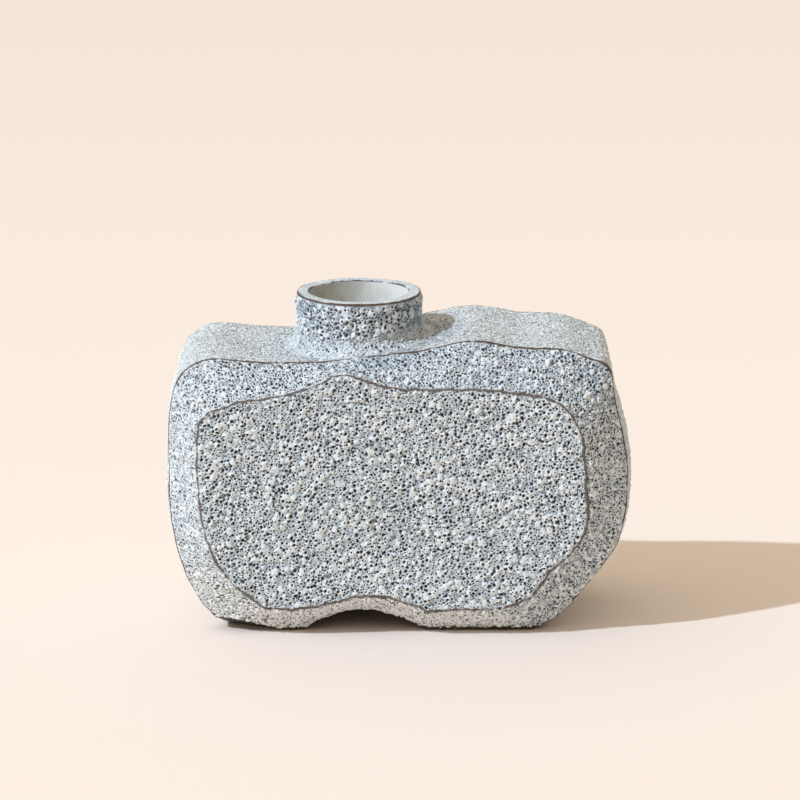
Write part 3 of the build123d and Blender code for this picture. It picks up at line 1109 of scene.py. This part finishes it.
def neck_rows():
    """Rows from the foot of the bore up over the rim and down the outside, and the part each belongs to."""
    tall = round((rim_z - shoulder_z.min()) / spacing / row_stretch)
    wide = max(round((neck_radius - bore_radius) / spacing), round_steps)
    inner, outer, top = bore_radius + lobes, neck_radius + lobes, rim_line - rim_round
    inner_foot, outer_foot = shoulder_under(bore_radius), shoulder_under(neck_radius)
    span = neck_radius - bore_radius - 2 * rim_round
    found = [("inside", inner, inner_foot + (top - inner_foot) * share) for share in np.linspace(0, 1, tall)]
    for turn in np.linspace(0, pi / 2, round_steps)[1:]:
        height = rim_line - rim_round * (1 - np.sin(turn))
        found.append(("rim", inner + rim_round * (1 - np.cos(turn)), height))
    for share in np.linspace(0, 1, wide)[1:-1]:
        found.append(("rim", inner + rim_round + span * share, rim_line))
    for turn in np.linspace(pi / 2, 0, round_steps):
        height = rim_line - rim_round * (1 - np.sin(turn))
        found.append(("rim", outer - rim_round * (1 - np.cos(turn)), height))
    found += [("outside", outer, top - (top - outer_foot) * share) for share in np.linspace(0, 1, tall)[1:]]
    parts, radii, heights = zip(*found)
    return np.stack([ring_at(radius, height) for radius, height in zip(radii, heights)]), parts


# Glaze of the neck: its froth starts below the rim, and the rim is brown along both edges
neck_grain_size, neck_pitting = 1.22, 2.0
froth_start, pit_full, froth_full = 0.9, 1.8, 3.6
rim_relief_share, rim_clear, rim_full = 0.35, 0.5, 1.5
outer_drop, outer_edge, outer_core = 0.2, 0.9, 0.4
inner_edge, inner_core, inner_ragged_share = 0.55, 0.2, 2.0
shade_start_share, shade_low, shade_high = -0.2, 8.0, 2.0
rim_tone_share, neck_patch_share, neck_lip_share = 0.76, 0.3, 0.32
neck_dip_share, neck_painted_shade_share = 0.46, 0.16
neck_blue_share, neck_speck_share = 0.95, 0.9
far_off = 99.0
NECK_GRAIN_LAYERS = [(1.1, 41, 0.05)]
NECK_SWAY_LAYERS = [(12.0, 42, 0.15)]
NECK_PATCH_LAYERS = [(14.0, 43, 0.5), (2.2, 44, 0.35)]
NECK_EDGE_LAYERS = [(2.0, 45, 0.2), (8.0, 46, 0.3)]

neck_places, neck_parts = neck_rows()
neck_grid, neck_flat, neck_faces = ring_surface(neck_places)
part_names = np.repeat(neck_parts, neck_columns)
outside, inside, rim = [part_names == part for part in ("outside", "inside", "rim")]
rim_drop = np.tile(rim_line, len(neck_places)) - neck_flat[:, 2]
from_axis = np.hypot(neck_flat[:, 0] - neck_x, neck_flat[:, 1])
neck_glaze = Relief(neck_flat)
neck_grain = np.full(len(neck_flat), neck_grain_size)
wide_neck = wrapped(neck_grid, neck_overlap)
neck_glaze.froth(wide_neck, np.where(outside, 1.0, 0.0), neck_grain, neck_pitting, draws)
neck_glaze.bubble(wide_neck, np.where(rim, 1.0, 0.0), neck_grain, draws, Relief.crater, RIM_CRATERS)
outer_edge_away = np.where(outside, rim_drop - outer_drop, np.where(rim, neck_radius - from_axis, far_off))
inner_edge_away = np.where(rim, from_axis - bore_radius, np.where(inside, rim_drop, far_off))
edge_away = np.minimum(outer_edge_away, inner_edge_away)
rim_fade = np.where(rim, rim_relief_share * ramp(edge_away, rim_clear, rim_full), 0.0)
neck_fade = np.where(outside, ramp(rim_drop, froth_start, froth_full), rim_fade)
neck_height = neck_fade * (neck_glaze.height() + layered(neck_flat, NECK_GRAIN_LAYERS))
neck_height += layered(neck_flat, NECK_SWAY_LAYERS)
neck_skin = neck_flat + normals_of(neck_flat, neck_faces) * neck_height[:, None]
neck_patchy = layered(neck_flat, NECK_PATCH_LAYERS)
neck_edge_noise = layered(neck_flat, NECK_EDGE_LAYERS)
# Painted shade on the neck: darker on its right side, away from the light, and up near the rim. As on the
# body, the paler lips and the darker dips are partly painted highlight and painted shade.
neck_painted_shade = ramp(neck_flat[:, 0] - neck_x, shade_start_share * neck_radius, neck_radius)
neck_painted_shade = neck_painted_shade + ramp(rim_drop, shade_low, shade_high)
neck_darker = outside * (neck_glaze.dips() * neck_dip_share + neck_painted_shade * neck_painted_shade_share)
neck_tone = np.where(rim, rim_tone_share, 1.0) + neck_patchy * neck_patch_share
neck_marks = {
    "pit": neck_glaze.pit * np.where(outside, ramp(rim_drop, froth_start, pit_full), neck_fade),
    "deep": np.ones(len(neck_flat)),
    "tone": neck_tone + neck_glaze.lip * neck_lip_share - neck_darker,
    "edge": np.maximum(
        ramp(outer_edge_away + neck_edge_noise, outer_edge, outer_core),
        ramp(inner_edge_away + neck_edge_noise * inner_ragged_share, inner_edge, inner_core),
    ),
    "clay": np.zeros(len(neck_flat)),
    "blue": neck_blue_share + neck_patchy * neck_patch_share,
    "speck": np.where(rim, 1.0, neck_speck_share),
}
neck = surface_of(neck_skin, neck_marks, normals_of(neck_skin, neck_faces))
collar = make_piece("vase_neck_collar", "neck_collar", neck, neck_faces)
face_inside = inside[neck_faces].all(axis=1)
collar.data.polygons.foreach_set("material_index", face_inside.astype(np.int32))

# Coil: how far it goes into the neck, sinks in and reaches down, and its glaze
coil_bite, coil_sink, coil_base = 0.3, 0.12, 1.0
coil_row_share = 0.8
coil_grain_size, coil_pitting, coil_deep_share = 0.9, 1.3, 0.9
coil_start_share, coil_end_share = 0.05, 0.92
coil_tone_share, coil_pale_share, coil_pale_shares = 0.82, 0.12, (0.1, 0.8)
coil_patch_share, coil_lip_share, coil_dip_share = 0.22, 0.16, 0.14
coil_blue_share, coil_speck_share = 0.75, 0.7


def coil_rows():
    """Rows from the neck down the hollow slope to the shoulder, and back underneath."""
    found = []
    count = round((coil_spread + coil_height) * coil_row_share / spacing)
    for turn in np.linspace(0, pi / 2, count):
        radius = neck_radius - coil_bite + (coil_spread + coil_bite) * (1 - np.cos(turn))
        found.append(ring_at(radius, shoulder_under(radius) + coil_height * (1 - np.sin(turn)) - coil_sink))
    radius = neck_radius + coil_spread
    found.append(ring_at(radius, shoulder_under(radius) - coil_base))
    found.append(ring_at(neck_radius - coil_bite, shoulder_under(neck_radius) - coil_base))
    return np.stack(found), count


coil_places, coil_seen = coil_rows()
coil_grid, coil_flat, coil_faces = ring_surface(coil_places)
coil_share = np.repeat(np.arange(len(coil_places)) / (coil_seen - 1), neck_columns)
coil_glaze = Relief(coil_flat)
coil_grain = np.full(len(coil_flat), coil_grain_size)
seen = np.where(coil_share <= 1, 1.0, 0.0)
coil_glaze.froth(wrapped(coil_grid, neck_overlap), seen, coil_grain, coil_pitting, draws)
coil_fade = seen * ramp(coil_share, 0, coil_start_share) * ramp(coil_share, 1, coil_end_share)
coil_relief = coil_fade * (coil_glaze.height() + layered(coil_flat, NECK_GRAIN_LAYERS))
coil_skin = coil_flat + normals_of(coil_flat, coil_faces) * coil_relief[:, None]
coil_patchy = layered(coil_flat, NECK_PATCH_LAYERS)
coil_tone = coil_tone_share + coil_pale_share * ramp(coil_share, *coil_pale_shares)
coil_tone = coil_tone + coil_patchy * coil_patch_share
# As on the body, the coil's paler lips and darker dips are partly painted highlight and painted shade.
coil_marks = {
    "pit": coil_glaze.pit * coil_fade,
    "deep": np.full(len(coil_flat), coil_deep_share),
    "tone": coil_tone + coil_glaze.lip * coil_lip_share - coil_glaze.dips() * coil_dip_share,
    "edge": np.zeros(len(coil_flat)),
    "clay": np.zeros(len(coil_flat)),
    "blue": coil_blue_share + coil_patchy * neck_patch_share,
    "speck": np.full(len(coil_flat), coil_speck_share),
}
coil = surface_of(coil_skin, coil_marks, normals_of(coil_skin, coil_faces))
make_piece("vase_neck_joint_coil", "neck_joint_coil", coil, coil_faces)


def pale_floor():
    """A seamless peach floor, a little deeper in colour and darker towards the back, as painted falloff of
    the light.
    """
    half = 8.0
    near, far = 0.1, 2.0
    corners = [(-half, -half, 0), (half, -half, 0), (half, half, 0), (-half, half, 0)]
    mesh = bpy.data.meshes.new("floor")
    mesh.from_pydata(corners, [], [(0, 1, 2, 3)])
    floor = placed("floor", mesh)
    material, nodes, links, shader = node_tree("floor_paper")
    place = nodes.new("ShaderNodeTexCoord")
    apart = nodes.new("ShaderNodeSeparateXYZ")
    links.new(place.outputs["Object"], apart.inputs["Vector"])
    reach = nodes.new("ShaderNodeMapRange")
    reach.inputs["From Min"].default_value = near
    reach.inputs["From Max"].default_value = far
    links.new(apart.outputs["Y"], reach.inputs["Value"])
    # Painted falloff of the light: the floor darkens towards the back
    colour = ramp_node(nodes, links, reach.outputs["Result"], [
        (0.0, (0.955, 0.85, 0.77)), (1.0, (0.88, 0.755, 0.66)),
    ])
    links.new(colour, shader.inputs["Base Color"])
    shader.inputs["Roughness"].default_value = 0.9
    shader.inputs["Specular IOR Level"].default_value = 0.1
    mesh.materials.append(material)


def studio_light():
    """A cool key from the left and the front, and a warm fill from all round."""
    lamp = bpy.data.lights.new("key", "SUN")
    lamp.energy = 2.52
    lamp.color = (0.665, 0.816, 1.0)
    lamp.angle = radians(1.6)
    key = placed("key", lamp)
    key.rotation_euler = Vector((-0.67, -0.35, 0.66)).to_track_quat("Z", "Y").to_euler()
    world = bpy.data.worlds.new("studio")
    world.use_nodes = True
    nodes, links = world.node_tree.nodes, world.node_tree.links
    ground = nodes["Background"]
    ground.inputs["Color"].default_value = (1.0, 0.86, 0.70, 1.0)
    place = nodes.new("ShaderNodeTexCoord")
    side = nodes.new("ShaderNodeVectorMath")
    side.operation = "DOT_PRODUCT"
    side.inputs[1].default_value = Vector((-0.55, 0.40, 0.70)).normalized()
    links.new(place.outputs["Generated"], side.inputs[0])
    level = nodes.new("ShaderNodeMapRange")
    level.inputs["From Min"].default_value = -0.5
    level.inputs["From Max"].default_value = 0.8
    level.inputs["To Min"].default_value = 0.15
    level.inputs["To Max"].default_value = 0.88
    links.new(side.outputs["Value"], level.inputs["Value"])
    links.new(level.outputs["Result"], ground.inputs["Strength"])
    bpy.context.scene.world = world


def photo_camera():
    lens = bpy.data.cameras.new("camera")
    lens.lens = 199.8
    lens.sensor_width = 36.0
    lens.sensor_fit = "HORIZONTAL"
    lens.clip_end = 50.0
    camera = placed("camera", lens)
    camera.location = (0.0008, -1.952, 0.583)
    camera.rotation_euler = (radians(90 - 13.97), 0, 0)
    bpy.context.scene.camera = camera


pale_floor()
studio_light()
photo_camera()
bpy.context.scene.view_settings.view_transform = "Standard"
